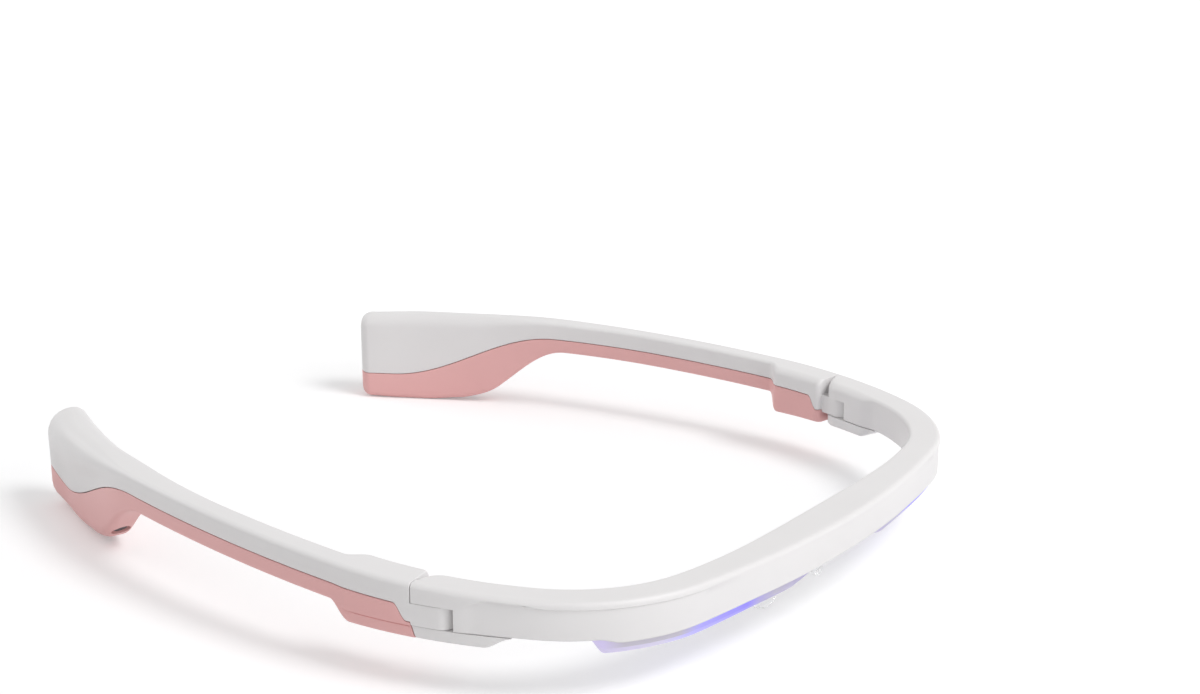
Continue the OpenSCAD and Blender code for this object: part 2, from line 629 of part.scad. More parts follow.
module temple_cover() difference() {
    union() {
        loft(temple_stations, [for (s = temple_stations) cover_section(s)]);
        barrel();
        screw_hole(post_r, post_bottom, temple_top(screw_s) - cover_roof / 2);
    }
    pin_hole(pin_r + pin_play, -boss_top - past, -ear_h + past);
    screw_hole(screw_r, post_bottom - past, post_bottom + 4.5);
}
module left_temple_cover() color(white) placed() temple_cover();
module right_temple_cover() color(white) placed() right_side() temple_cover();

// Axes at the recess in the slope of the paddle: Z points out of it, square to the slope
port_slope = atan((temple_bottom(port_s - 1) - temple_bottom(port_s + 1)) / 2);
port_in = (temple_thickness(port_s) + hollow(port_s)) / 2 + 0.3;
module at_port() at(port_s, port_in, temple_bottom(port_s)) rotate([0, 180 + port_slope, 0]) children();
port_recess = 0.9;

screw_recess = 2.2;
module temple_base() difference() {
    loft(temple_stations, [for (s = temple_stations) base_section(s)]);
    screw_hole(screw_r + 0.15, -foot_depth - past, pillar_top + past);
    screw_hole(screw_head_r + 0.2, -foot_depth - past, temple_bottom(screw_s) + screw_recess);
    screw_hole(post_r + 0.1, pillar_top, temple_top(screw_s));
    at_port() translate([0, 0, -port_recess]) cylinder(r = port_r, h = port_recess + 2 * past);
    children();
}

// Power button: a cap with a flange behind the wall, and the switch that it presses
button_play = 0.15;
button_sunk = 0.4;
button_len = 2.6;
flange_r = port_r - 0.1;
flange_h = 0.6;
flange_depth = 1.9;
way_r = flange_r + button_play;
module button_way() at_port() {
    translate([0, 0, -5]) cylinder(r = button_r + button_play, h = 5);
    translate([0, 0, -9]) cylinder(r = way_r, h = 9 - flange_depth);
}
module right_temple_base() color(pink) placed() right_side() temple_base() button_way();
module power_button() color(dark_grey) placed() right_side() at_port() {
    translate([0, 0, -button_sunk - button_len]) cylinder(r = button_r, h = button_len);
    translate([0, 0, -flange_depth - seat - flange_h]) cylinder(r = flange_r, h = flange_h);
}
switch_gap = button_travel + 0.1;
switch_depth = button_sunk + button_len + switch_gap;
module power_switch() color(steel) placed() right_side() at_port() {
    translate([0, 0, -switch_depth - 0.5]) cylinder(r = 0.7, h = 0.5);
    translate([-1.3, -1.3, -switch_depth - 1.5]) cube([2.6, 2.6, 1.05]);
    translate([0, 0, -switch_depth - 2.2]) cylinder(r = way_r, h = 0.75);
}

// Charging socket: a sleeve pressed into the base
sleeve_r = port_r - 0.1;
module socket_way() at_port()
    translate([0, 0, -socket_depth - port_recess - 1]) cylinder(r = sleeve_r, h = socket_depth + 1.5);
module left_temple_base() color(pink) placed() temple_base() socket_way();
module charge_socket() color(dark_grey) placed() at_port()
    translate([0, 0, -port_recess - socket_depth]) difference() {
        translate([0, 0, -0.6]) cylinder(r = sleeve_r, h = socket_depth + 0.6);
        cylinder(r = socket_r, h = socket_depth + past);
    }

tip_screw_low = temple_bottom(screw_s) + screw_recess - screw_head_h - seat;
module tip_screw() at(screw_s, middle_in, tip_screw_low)
    headed_pin(screw_r, screw_head_r, screw_head_h, post_bottom + 4 - tip_screw_low);
module left_tip_screw() color(steel) placed() tip_screw();
module right_tip_screw() color(steel) placed() right_side() tip_screw();

// Batteries, boards and flexible circuits inside the temples
cell_s = end_s - 16;
cell_high = -1.5;
cell_in = (temple_thickness(cell_s) + hollow(cell_s)) / 2 + cell_len * cell_len / (16 * tip_radius);
module battery() at(cell_s, cell_in, cell_high - cell_h)
    translate([-cell_len / 2, -cell_t / 2, 0]) cube([cell_len, cell_t, cell_h]);
module left_battery() color(cell_silver) placed() battery();
module right_battery() color(cell_silver) placed() right_side() battery();

tip_board_h = 3.6;
tip_board_len = 16;
chip_t = 0.6;
tip_board_z = -foot_depth + floor_t + 1.4;
module tip_board(l) at(cell_s, cell_in, tip_board_z)
    translate([-l / 2, -board_t / 2, 0]) cube([l, board_t, tip_board_h]);
module charge_board() color(board_green) placed() tip_board(tip_board_len - 4);
module control_board() color(board_green) placed() right_side() {
    tip_board(tip_board_len);
    at(cell_s, cell_in, tip_board_z + 0.6)
        translate([-2, -board_t / 2 - chip_t, 0]) cube([4, chip_t + sliver, 2.4]);
}

temple_flex_h = 2.2;
temple_flex_stations = concat(spread(seam_s + root_len + 1, seam_s + block_len - 5, 3),
    spread(seam_s + block_len - 2, paddle_s, 10), spread(paddle_s + 3, screw_s - 3.5, 5));
module temple_flex() loft(temple_flex_stations, [for (s = temple_flex_stations)
    standing_strip((temple_thickness(s) + hollow(s) - flex_t) / 2,
        temple_top(s) - cover_roof - 0.2, temple_flex_h)]);
module left_temple_flex() color(flex_amber) placed() temple_flex();
module right_temple_flex() color(flex_amber) placed() right_side() temple_flex();

// The glasses stand on the feet of the paddles and on the nose pads
overall_depth = max([for (s = end_stations) for (p = cover_section(s)) place(s, p).y]);
module placed() translate([0, -overall_depth / 2, foot_depth]) children();
module both_sides() {
    children();
    mirror([1, 0, 0]) children();
}

front_shell();
front_base();
light_window_right();
light_window_left();
window_bezel_right();
window_bezel_left();
led_board_right();
led_board_left();
leds_right();
leds_left();
front_flex();
nose_bridge();
nose_pad_right();
nose_pad_left();
hinge_pin_right();
hinge_pin_left();
base_screws();
right_temple_cover();
right_temple_base();
right_temple_flex();
right_battery();
control_board();
power_switch();
power_button();
right_tip_screw();
left_temple_cover();
left_temple_base();
left_temple_flex();
left_battery();
charge_board();
charge_socket();
left_tip_screw();
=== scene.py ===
import math

import bmesh
import bpy
from mathutils import Matrix, Vector


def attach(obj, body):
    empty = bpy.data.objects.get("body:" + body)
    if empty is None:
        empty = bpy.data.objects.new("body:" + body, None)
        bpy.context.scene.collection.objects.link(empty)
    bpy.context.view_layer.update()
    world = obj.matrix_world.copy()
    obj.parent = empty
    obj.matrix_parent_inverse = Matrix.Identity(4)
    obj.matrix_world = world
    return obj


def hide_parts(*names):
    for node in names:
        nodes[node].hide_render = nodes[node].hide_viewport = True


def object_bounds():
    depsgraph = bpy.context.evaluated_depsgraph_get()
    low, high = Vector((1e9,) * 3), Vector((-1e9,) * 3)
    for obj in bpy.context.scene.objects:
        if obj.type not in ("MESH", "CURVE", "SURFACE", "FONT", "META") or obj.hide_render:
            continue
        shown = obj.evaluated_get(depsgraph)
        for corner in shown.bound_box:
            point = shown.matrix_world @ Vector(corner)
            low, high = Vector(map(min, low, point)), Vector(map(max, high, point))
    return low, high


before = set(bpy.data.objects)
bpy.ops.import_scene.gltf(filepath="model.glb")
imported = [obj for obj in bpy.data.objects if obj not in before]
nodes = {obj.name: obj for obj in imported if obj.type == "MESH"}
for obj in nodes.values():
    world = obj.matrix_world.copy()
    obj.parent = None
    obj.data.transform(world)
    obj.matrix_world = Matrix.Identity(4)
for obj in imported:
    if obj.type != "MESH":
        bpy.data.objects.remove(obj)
cad_box = [list(corner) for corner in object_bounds()]

# ---------------------------------------------------------------- Camera
# The glasses lie on a table, seen from their right front and a little above, through a lens a
# little longer than normal.
camera_azimuth = math.radians(-54.14)
camera_height = math.radians(16.28)
camera_roll = math.radians(-0.09)
camera_data = bpy.data.cameras.new("camera")
camera_data.sensor_width = 36
camera_data.lens = 60
camera_data.clip_start = 0.01
camera = bpy.data.objects.new("camera", camera_data)
bpy.context.collection.objects.link(camera)
sight_back = Vector((math.sin(camera_azimuth) * math.cos(camera_height),
                     -math.cos(camera_azimuth) * math.cos(camera_height),
                     math.sin(camera_height)))
sight_right = Vector((math.cos(camera_azimuth), math.sin(camera_azimuth), 0))
sight_up = sight_back.cross(sight_right)
sight_turn = Matrix((sight_right, sight_up, sight_back)).transposed()
camera.rotation_euler = (sight_turn @ Matrix.Rotation(camera_roll, 3, 'Z')).to_euler()
camera.location = (-0.3245, -0.1740 + cad_box[0][1], 0.1601)
bpy.context.scene.camera = camera

# ---------------------------------------------------------------- Table and light
# A plain white table under soft daylight: a lamp overhead that draws the shadows, a wide and
# weaker one in front, a faint one behind, and an even sky.
table_half = 3
shadows_end, table_white = 0.12, 0.45
near_lift, far_lift = 0.21, 0.7
sky_strength = 0.52


def socket(node, name, value):
    node.inputs[name].default_value = value


def plain_nodes(owner):
    """Switches on the nodes of a material or the world, and empties them."""
    owner.use_nodes = True
    tree = owner.node_tree
    tree.nodes.clear()
    return tree


def looked_at(tree):
    """1 where the surface is seen by the camera, in a reflection or through glass, else 0."""
    path = tree.nodes.new("ShaderNodeLightPath")
    seen = path.outputs["Is Camera Ray"]
    for ray in ("Is Glossy Ray", "Is Transmission Ray"):
        either = tree.nodes.new("ShaderNodeMath")
        either.operation = 'MAXIMUM'
        tree.links.new(seen, either.inputs[0])
        tree.links.new(path.outputs[ray], either.inputs[1])
        seen = either.outputs[0]
    return seen


def as_object(name, bm):
    """Makes a mesh object of a bmesh and puts it in the scene."""
    mesh = bpy.data.meshes.new(name)
    bm.to_mesh(mesh)
    bm.free()
    thing = bpy.data.objects.new(name, mesh)
    bpy.context.collection.objects.link(thing)
    return thing


# What the camera sees of the table grows lighter away from the glasses, beyond their shadows.
floor_material = bpy.data.materials.new("white_table")
tree = plain_nodes(floor_material)
surface = tree.nodes.new("ShaderNodeOutputMaterial")
matt = tree.nodes.new("ShaderNodeBsdfDiffuse")
socket(matt, "Color", (0.86, 0.86, 0.865, 1))
white = tree.nodes.new("ShaderNodeEmission")
socket(white, "Color", (1, 1, 1, 1))
spot = tree.nodes.new("ShaderNodeTexCoord")
away = tree.nodes.new("ShaderNodeVectorMath")
away.operation = 'LENGTH'
rise = tree.nodes.new("ShaderNodeMapRange")
socket(rise, "From Min", shadows_end)
socket(rise, "From Max", table_white)
socket(rise, "To Min", near_lift)
socket(rise, "To Max", far_lift)
lift = tree.nodes.new("ShaderNodeMath")
lift.operation = 'MULTIPLY'
tree.links.new(spot.outputs["Object"], away.inputs[0])
tree.links.new(away.outputs["Value"], rise.inputs["Value"])
tree.links.new(rise.outputs["Result"], lift.inputs[0])
tree.links.new(looked_at(tree), lift.inputs[1])
tree.links.new(lift.outputs[0], white.inputs["Strength"])
both = tree.nodes.new("ShaderNodeAddShader")
tree.links.new(matt.outputs[0], both.inputs[0])
tree.links.new(white.outputs[0], both.inputs[1])
tree.links.new(both.outputs[0], surface.inputs["Surface"])

bm = bmesh.new()
bmesh.ops.create_grid(bm, x_segments=1, y_segments=1, size=table_half)
floor = as_object("table", bm)
floor.data.materials.append(floor_material)


def lamp(name, position, size, power):
    """Round soft lamp that looks at the middle of the glasses."""
    data = bpy.data.lights.new(name, 'AREA')
    data.shape = 'DISK'
    data.size = size
    data.energy = power
    thing = bpy.data.objects.new(name, data)
    thing.location = position
    thing.rotation_euler = Vector(position).to_track_quat('Z', 'Y').to_euler()
    bpy.context.collection.objects.link(thing)


lamp("overhead_light", (0.19, -1.49, 1.87), 0.9, 23)
lamp("front_light", (-0.3, -2.2, 0.8), 1.6, 11)
lamp("back_light", (-0.25, 1.9, 0.85), 1.4, 8)

world = bpy.data.worlds.new("sky")
bpy.context.scene.world = world
tree = plain_nodes(world)
sky_out = tree.nodes.new("ShaderNodeOutputWorld")
sky = tree.nodes.new("ShaderNodeBackground")
socket(sky, "Color", (1, 1, 1, 1))
brightness = tree.nodes.new("ShaderNodeMapRange")
socket(brightness, "To Min", sky_strength)
socket(brightness, "To Max", 1)
tree.links.new(looked_at(tree), brightness.inputs["Value"])
tree.links.new(brightness.outputs["Result"], sky.inputs["Strength"])
tree.links.new(sky.outputs[0], sky_out.inputs["Surface"])
bpy.context.scene.view_settings.view_transform = 'Standard'

# ---------------------------------------------------------------- White bar
# The front of the glasses: an upside-down channel moulded in satin white plastic, bent round
# the brow, with a fine step under its upper edge and an ear over each hinge.

# Each arc of the outline has a radius in millimetres and a turn in degrees, and s is the distance
# along it from the middle of the front.
brow_line = ((211.5, 12.3), (37.9, 52), (87, 26.2), (297, 10.8), (184, 18.6))
arc_lengths = [math.radians(turn) * radius for radius, turn in brow_line]
corner_s = arc_lengths[0]
seam_s = corner_s + arc_lengths[1] + 21.6
end_s = sum(arc_lengths)
foot_depth = 19.4
pin_s = seam_s - 4.4
barrel_r = 3.6
knuckle_r = 4.0
ear_h = 2.65
slot_s = pin_s - barrel_r - 0.35
bar_solid_s = seam_s - 11.6
window_end = corner_s + 22.4
brow_depth = 8.8
corner_depth = 6.8
bar_height = 7.2
ear_bar_height = 7.0
bar_wall = 1.3
bar_roof = 1.4
lip_r = 0.4
inner_edge_r, block_inner_r = 0.8, 1.9
face_drop = 0.9
step_depth, step_at_corner, step_at_slot = 1.3, 0.75, 2.1
step_in = 0.24
temple_rise = 3.3
tip_fall = 0.4


def place(s, inward, up):
    """Point in metres from millimetres along the outline, in from it and up from the bar's top."""
    x = y = heading = 0.0
    for radius, degrees in brow_line:
        turn = min(math.radians(degrees), s / radius)
        x += radius * (math.sin(heading + turn) - math.sin(heading))
        y += radius * (math.cos(heading) - math.cos(heading + turn))
        heading += turn
        s -= radius * turn
    return Vector(((x - inward * math.sin(heading)) / 1000,
                   (y + inward * math.cos(heading)) / 1000 + cad_box[0][1],
                   (up + foot_depth) / 1000))


def ease(s, start, end):
    """Smooth change from 0 to 1 between two distances."""
    share = min(max((s - start) / (end - start), 0), 1)
    return (1 - math.cos(math.pi * share)) / 2


def blend(a, b, share):
    return a + (b - a) * share


def between(share, *knots):
    """Straight lines through pairs of share and value."""
    for (a, p), (b, q) in zip(knots, knots[1:]):
        if share <= b:
            return p + (q - p) * (share - a) / (b - a)
    return knots[-1][1]


def stations(*stops):
    """Distances from stop to stop, in even steps of the length that follows each stop."""
    found = [stops[0]]
    for start, step, end in zip(stops[0:-1:2], stops[1::2], stops[2::2]):
        count = max(1, round((end - start) / step))
        found += [start + (end - start) * i / count for i in range(1, count + 1)]
    return found


def straight_bar(along, across=(), upright=(), steps=6):
    """Block one unit wide and high with round long edges, cut by loops at the distances given."""
    bm = bmesh.new()
    bmesh.ops.create_cube(bm, size=1, matrix=Matrix.Translation((0.5, 0.5, 0.5)))
    long_edges = [e for e in bm.edges if abs(e.verts[0].co.x - e.verts[1].co.x) > 0.5]
    bmesh.ops.bevel(bm, geom=long_edges, offset=0.25, segments=steps, profile=0.5,
                    affect='EDGES', material=-1)
    for v in bm.verts:
        v.co.x = blend(along[0], along[-1], v.co.x)
    cuts = ([((s, 0, 0), (1, 0, 0)) for s in along[1:-1]]
            + [((0, y, 0), (0, 1, 0)) for y in across]
            + [((0, 0, z), (0, 0, 1)) for z in upright])
    for point, normal in cuts:
        bmesh.ops.bisect_plane(bm, geom=bm.verts[:] + bm.edges[:] + bm.faces[:], dist=1e-6,
                               plane_co=point, plane_no=normal)
    return bm


def pull(bm, chosen, offset):
    """Extrudes faces in one piece, moves them and takes away the old ones."""
    found = bmesh.ops.extrude_face_region(bm, geom=chosen)["geom"]
    bmesh.ops.delete(bm, geom=chosen, context='FACES')
    moved = [g for g in found if isinstance(g, bmesh.types.BMVert)]
    bmesh.ops.translate(bm, verts=moved, vec=offset)
    return [g for g in found if isinstance(g, bmesh.types.BMFace)]


def bend(bm, section):
    """Puts each point in its place: the section gives how far in and how high it lies."""
    for v in bm.verts:
        inward, up = section(*v.co)
        v.co = place(v.co.x, inward, up)


def finish_piece(name, bm, material, body, replaced, crease=40, flip=False):
    """Makes the object, smooth up to the crease angle, and says what it rides on and replaces."""
    if flip:
        bmesh.ops.scale(bm, verts=bm.verts, vec=(-1, 1, 1))
    bmesh.ops.remove_doubles(bm, verts=bm.verts, dist=1e-7)
    bmesh.ops.recalc_face_normals(bm, faces=bm.faces)
    for face in bm.faces:
        face.smooth = True
    for edge in bm.edges:
        if edge.calc_face_angle() > math.radians(crease):
            edge.smooth = False
    piece = as_object(name, bm)
    piece.data.materials.append(material)
    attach(piece, body)
    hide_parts(*replaced)


def moulded_plastic(name, colour, shade, roughness, grain=0.12, sheen=0.0):
    """Satin moulded plastic: a faint mottle in colour and gloss, and a fine spark-eroded grain."""
    material = bpy.data.materials.new(name)
    material.use_nodes = True
    tree = material.node_tree
    body = tree.nodes["Principled BSDF"]
    spot = tree.nodes.new("ShaderNodeTexCoord")
    mottle = tree.nodes.new("ShaderNodeTexNoise")
    socket(mottle, "Scale", 55)
    socket(mottle, "Detail", 4)
    tint = tree.nodes.new("ShaderNodeMix")
    tint.data_type = 'RGBA'
    socket(tint, "A", (*colour, 1))
    socket(tint, "B", (*shade, 1))
    gloss = tree.nodes.new("ShaderNodeMapRange")
    socket(gloss, "To Min", roughness - 0.05)
    socket(gloss, "To Max", roughness + 0.05)
    fine = tree.nodes.new("ShaderNodeTexNoise")
    socket(fine, "Scale", 3200)
    socket(fine, "Detail", 2)
    relief = tree.nodes.new("ShaderNodeBump")
    socket(relief, "Strength", grain)
    socket(relief, "Distance", 0.00005)
    for texture in (mottle, fine):
        tree.links.new(spot.outputs["Object"], texture.inputs["Vector"])
    tree.links.new(mottle.outputs["Fac"], tint.inputs["Factor"])
    tree.links.new(tint.outputs["Result"], body.inputs["Base Color"])
    tree.links.new(mottle.outputs["Fac"], gloss.inputs["Value"])
    tree.links.new(gloss.outputs["Result"], body.inputs["Roughness"])
    tree.links.new(fine.outputs["Fac"], relief.inputs["Height"])
    tree.links.new(relief.outputs["Normal"], body.inputs["Normal"])
    socket(body, "IOR", 1.49)
    socket(body, "Coat Weight", sheen)
    socket(body, "Coat Roughness", 0.3)
    return material


white_plastic = moulded_plastic("white_plastic", (0.80, 0.785, 0.785), (0.76, 0.745, 0.745),
                                0.42)


def boss_share(s):
    """1 at the hinge, where the bar is as wide as its ear and boss, and 0 before it."""
    return ease(s, seam_s - 18.5, seam_s - 14)


def bar_width(s):
    plain = blend(blend(brow_depth, corner_depth, ease(s, 0, corner_s)), barrel_r + knuckle_r,
                  boss_share(s))
    past_pin = min(max(s - pin_s, 0), knuckle_r)
    return plain - knuckle_r + math.sqrt(knuckle_r ** 2 - past_pin ** 2)


def top_line(s):
    rise_end = end_s - 43
    return temple_rise * ease(s, corner_s, rise_end) - tip_fall * ease(s, rise_end, end_s)


def bar_low(s):
    return -blend(bar_height, ear_bar_height, ease(s, seam_s - 30, seam_s - 20))


def bar_face_low(s):
    """Lower edge of the face, which drops as a lip over the windows."""
    over_window = ease(s, 28, corner_s + 10) * (1 - ease(s, window_end - 5.5, window_end - 1))
    return bar_low(s) - face_drop * over_window


def step_line(s):
    """Depth of the fine step below the outer upper edge; it dives to the slot at the hinge."""
    return blend(blend(step_depth, step_at_corner, ease(s, 76, 82)), step_at_slot,
                 ease(s, 86, 91.5))


def step_inset(s):
    return step_in * ease(s, 32, 50) * (1 - ease(s, 89.5, 91.8))


channel_roof = 0.32
ear_level = 0.5
wall_in = 0.3
wall_out = 0.7


def bar_section(s, across, upright):
    width, top, low, face_low = bar_width(s), top_line(s), bar_low(s), bar_face_low(s)
    inner_r = min(blend(inner_edge_r, block_inner_r, boss_share(s)), width - 1.2)
    if wall_in - 0.01 < across < wall_out + 0.01 and 0.2 < upright < 0.4:
        share = (across - wall_in) / (wall_out - wall_in)
        return blend(bar_wall, width - bar_wall, share), top - bar_roof
    if upright < 0.4:
        inward = between(across, (0, 0), (0.25, lip_r), (wall_in, bar_wall),
                         (wall_out, width - bar_wall), (0.75, width - lip_r), (1, width))
    else:
        inward = between(across, (0, 0), (0.25, 1), (0.75, width - inner_r), (1, width))
    if across < 0.5:
        line = top - step_line(s)
        base = blend(face_low, low, ease(across, 0.26, wall_in + 0.01))
        up = between(upright, (0, base), (0.25, face_low + lip_r), (ear_level, -ear_h),
                     (0.6, line - 0.22), (0.66, line), (0.75, top - 0.95), (1, top))
        if upright < 0.61 and across < 0.26:
            inward += step_inset(s)
    else:
        up = between(upright, (0, low), (0.25, low + lip_r), (ear_level, -ear_h),
                     (0.75, top - inner_r), (1, top))
    return inward, up


def whole(bm):
    """Opens the left half of a front piece at the middle and mirrors it."""
    middle = [f for f in bm.faces if all(abs(v.co.x) < 1e-7 for v in f.verts)]
    bmesh.ops.delete(bm, geom=middle, context='FACES')
    bmesh.ops.mirror(bm, geom=bm.verts[:] + bm.edges[:] + bm.faces[:], axis='X',
                     merge_dist=1e-6)


bm = straight_bar(stations(0, 1.6, corner_s, 1.1, window_end, 1.2, bar_solid_s, 0.8, slot_s),
                  across=(wall_in, wall_out), upright=(ear_level, 0.6, 0.66))
under = [f for f in bm.faces if f.normal.z < -0.9 and f.calc_center_median().x < bar_solid_s
         and wall_in < f.calc_center_median().y < wall_out]
pull(bm, under, (0, 0, channel_roof))
ear = [f for f in bm.faces if f.normal.x > 0.9 and f.calc_center_median().z > ear_level]
knuckle_rows = [pin_s + knuckle_r * math.sin(math.radians(a))
                for a in (15, 30, 45, 58, 70, 80, 90)]
ear_ends = stations(slot_s, 0.9, pin_s) + knuckle_rows + [seam_s]
for here, there in zip(ear_ends, ear_ends[1:]):
    ear = pull(bm, ear, (there - here, 0, 0))
bend(bm, bar_section)
whole(bm)
finish_piece("white_bar", bm, white_plastic, "front", ["front_shell"])

# ---------------------------------------------------------------- Temple covers
# The upper half of each temple, a white channel that clips over the pink base. A tongue on its
# front end carries the barrel that turns on the hinge pin between the bar's two ears.
temple_s = seam_s + 0.25
block_s = seam_s + 18.5
paddle_s = end_s - 57
foot_s = paddle_s + 29.5
port_s = paddle_s + 17.6
screw_s = port_s + 8.9
end_r = 2.6
collar_r = 1.2
seam_round = 0.12
nose_r = 2.8
barrel_low = -6.95
barrel_high = -2.75
tongue_low = 0.42
tongue_high = 0.58
shoulder = 0.6
parting_round = 0.15
parting_gap = 0.085
cover_wall = 1.1
cover_roof = 1.3
cover_edge_r = 1
paddle_r, paddle_inner_r = 3.6, 3.2
tip_extra_r = 2
tongue_width = 6.8
tongue_under = -6.1
arm_width, tip_width, block_width = 4.9, 9, 8.2
arm_height = 7.6
block_low = -9.5
hollow_depth = 1.6
toe_rise = 0.9
tip_lift = 0.4
tip_side_share, tip_low_share = 0.85, 0.8
parting_depth, block_parting_drop = 4.2, 0.2
tip_lean = 3
seam_parting, tip_parting = -6.4, -12.8
temple_root = seam_s + 5.2
temple_end = end_s - 3.6


def quarter(depth, radius):
    """How far a rounded end draws in at a depth before its face."""
    share = min(max(depth / radius, 0), 1)
    return radius * (1 - math.sqrt(1 - share * share))


def block_share(s):
    return 1 - ease(s, block_s - 4.5, block_s)


def paddle_share(s):
    return ease(s, paddle_s + 2, foot_s + 3)


def tip_draw(s):
    return quarter(s - end_s + end_r, end_r)


def hollow(s):
    """Depth of the spoon-like hollow in the outside of the paddle."""
    return (hollow_depth * ease(s, paddle_s + 5, foot_s + 5)
            * (1 - ease(s, end_s - 13, end_s)))


def seam_draw(s):
    return quarter(temple_s + seam_round - s, seam_round)


def temple_sides(s):
    """How far in the outer and the inner side lie."""
    width = blend(blend(arm_width, tip_width, ease(s, paddle_s - 25, end_s)), block_width,
                  block_share(s))
    draw = tip_side_share * tip_draw(s) + seam_draw(s)
    return draw, width - quarter(temple_s + collar_r - s, collar_r) - draw


def temple_low(s):
    low = blend(top_line(s) - arm_height, block_low, block_share(s))
    toe = toe_rise * ease(s, foot_s - 11, foot_s - 3) * (1 - ease(s, foot_s - 3, foot_s + 10))
    return (blend(low, -foot_depth, ease(s, paddle_s, foot_s)) + toe
            + tip_lift * ease(s, end_s - 11, end_s) + tip_low_share * tip_draw(s)
            + seam_draw(s))


def near_seam(s):
    return 1 - ease(s, seam_s + 1, seam_s + 3.8)


def parting(s, inward):
    """The line where cover and base meet: an S behind the hinge, then level, then down the tip."""
    line = blend(top_line(s) - parting_depth - block_parting_drop * block_share(s),
                 tip_parting, ease(s, paddle_s + 2.6, paddle_s + 48.2))
    lean = tip_lean * ease(s, end_s - 14, end_s) * (1 - inward / tip_width)
    return blend(line, seam_parting, near_seam(s)) + lean


def barrel_half(s):
    return math.sqrt(max(barrel_r ** 2 - (s - pin_s) ** 2, 0))


def cover_section(s, across, upright):
    if s < temple_s - 0.01:
        inner = barrel_r + barrel_half(s)
        if s > pin_s:
            inner = max(tongue_width, inner)
        outer = 0.05 * min(temple_s - s, 1) + quarter(pin_s - 0.8 - s, nose_r)
        share = (upright - tongue_low) / (tongue_high - tongue_low)
        return blend(outer, inner, across), blend(barrel_low, barrel_high, share)
    outer, inner = temple_sides(s)
    top = top_line(s) - tip_draw(s) - seam_draw(s)
    if tongue_low - 0.01 < upright < tongue_high + 0.01 and across < 0.1:
        outer -= seam_draw(s)
    dip = hollow(s)
    half = (inner - outer) / 2
    outer_r = min(blend(cover_edge_r, paddle_r, paddle_share(s))
                  + tip_extra_r * ease(s, end_s - 16, end_s - 2), 1.25 * half)
    inner_r = min(blend(blend(inner_edge_r, block_inner_r, block_share(s)), paddle_inner_r,
                        paddle_share(s)), 0.7 * half)
    wall = min(cover_wall, half - 0.3)
    if 0.2 < upright < 0.4 and wall_in - 0.01 < across < wall_out + 0.01:
        share = (across - wall_in) / (wall_out - wall_in)
        return (blend(outer + dip + wall + max(outer_r - paddle_r, 0), inner - wall, share),
                top - cover_roof)
    if upright < 0.3:
        inward = between(across, (0, outer + dip), (0.25, outer + dip + parting_round),
                         (wall_in, outer + dip + wall), (wall_out, inner - wall),
                         (0.75, inner - parting_round), (1, inner))
        edge = parting_round * min(upright, 0.25) / 0.25
        return inward, parting(s, inward) + parting_gap + edge
    sides = []
    for side, corner_r in ((outer + dip, outer_r), (inner, inner_r)):
        low = parting(s, side) + parting_gap + parting_round
        high = top - corner_r
        near = near_seam(s)
        sides.append(between(upright, (0.25, low),
                             (tongue_low, blend(blend(low, high, 0.34), tongue_under, near)),
                             (tongue_high, blend(blend(low, high, 0.66), barrel_high, near)),
                             (shoulder, blend(blend(low, high, 0.7), barrel_high + 0.12, near)),
                             (0.75, high), (1, top)))
    up = blend(sides[0], sides[1], between(across, (0, 0), (0.25, 0), (0.75, 1), (1, 1)))
    fallen = (top - outer_r - sides[0]) / max(top - outer_r - parting(s, outer + dip), 0.1)
    inward = between(across, (0, outer), (0.25, outer + outer_r), (0.75, inner - inner_r),
                     (1, inner))
    return inward + dip * ease(fallen, 0, 0.7) * (1 - min(across / 0.5, 1)), up


tip_rows = [end_s - end_r * (1 - math.sin(math.radians(a))) for a in range(10, 91, 10)]
seam_rows = [temple_s + seam_round * (1 - math.cos(math.radians(a))) for a in (0, 30, 60, 90)]
temple_rows = seam_rows + stations(temple_s + seam_round, 0.3, temple_s + collar_r, 0.45,
                                   seam_s + 4.6, 0.9, block_s - 5, 0.5, block_s + 0.5, 2,
                                   paddle_s, 1.1, end_s - end_r)[1:] + tip_rows
barrel_rows = [seam_s] + stations(seam_s - 0.6, 0.8, pin_s + 2.2, 0.5, pin_s) + [
    pin_s - barrel_r * math.sin(math.radians(a)) for a in (12, 24, 36, 48, 60, 70, 78, 84)]


def hollowed(bm, side, depth):
    """Sinks the long channel that a cover or base is moulded round, from its open side."""
    chosen = [f for f in bm.faces if f.normal.z * side > 0.9
              and temple_root < f.calc_center_median().x < temple_end
              and wall_in < f.calc_center_median().y < wall_out]
    pull(bm, chosen, (0, 0, depth))


for side, mirrored in (("left", False), ("right", True)):
    bm = straight_bar(temple_rows, across=(wall_in, wall_out),
                      upright=(tongue_low, 0.5, tongue_high, shoulder, 0.66))
    hollowed(bm, -1, 0.3)
    tongue = [f for f in bm.faces if f.normal.x < -0.9
              and tongue_low < f.calc_center_median().z < tongue_high]
    for here, there in zip([temple_s] + barrel_rows, barrel_rows):
        tongue = pull(bm, tongue, (there - here, 0, 0))
    bend(bm, cover_section)
    finish_piece(side + "_cover", bm, white_plastic, side + "_temple",
                 [side + "_temple_cover"], flip=mirrored)

